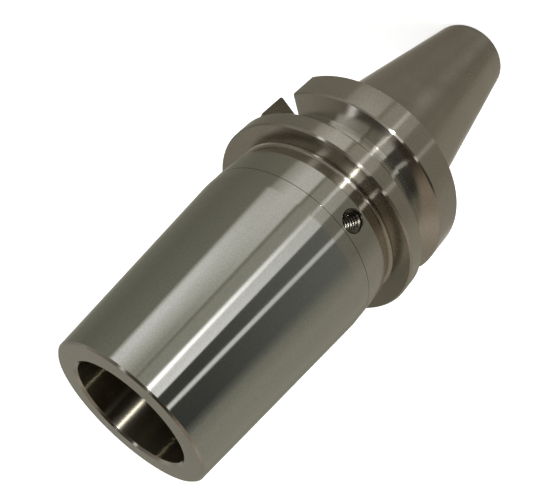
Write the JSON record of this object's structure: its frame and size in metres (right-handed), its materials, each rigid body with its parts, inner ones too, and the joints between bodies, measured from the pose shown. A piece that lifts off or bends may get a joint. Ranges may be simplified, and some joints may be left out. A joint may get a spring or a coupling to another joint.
{
  "type": "shrink fit tool holder",
  "caption": "Steep-taper tool holder with a grooved flange and a conical nose, whose ground bore is heated to take a tool shank and shrinks on to grip it.",
  "frame": {"origin": "on the axis, in the gauge plane of the steep taper", "axes": "+Z along the axis towards the nose and the tool, X through the two drive slots, Y through the two radial threads"},
  "size_m": [0.063, 0.063, 0.1654],
  "materials": {
    "ground_steel": "fine ground, satin, warm grey"
  },
  "bodies": {
    "root": {"holder_body": "ground_steel"}
  },
  "joints": []
}
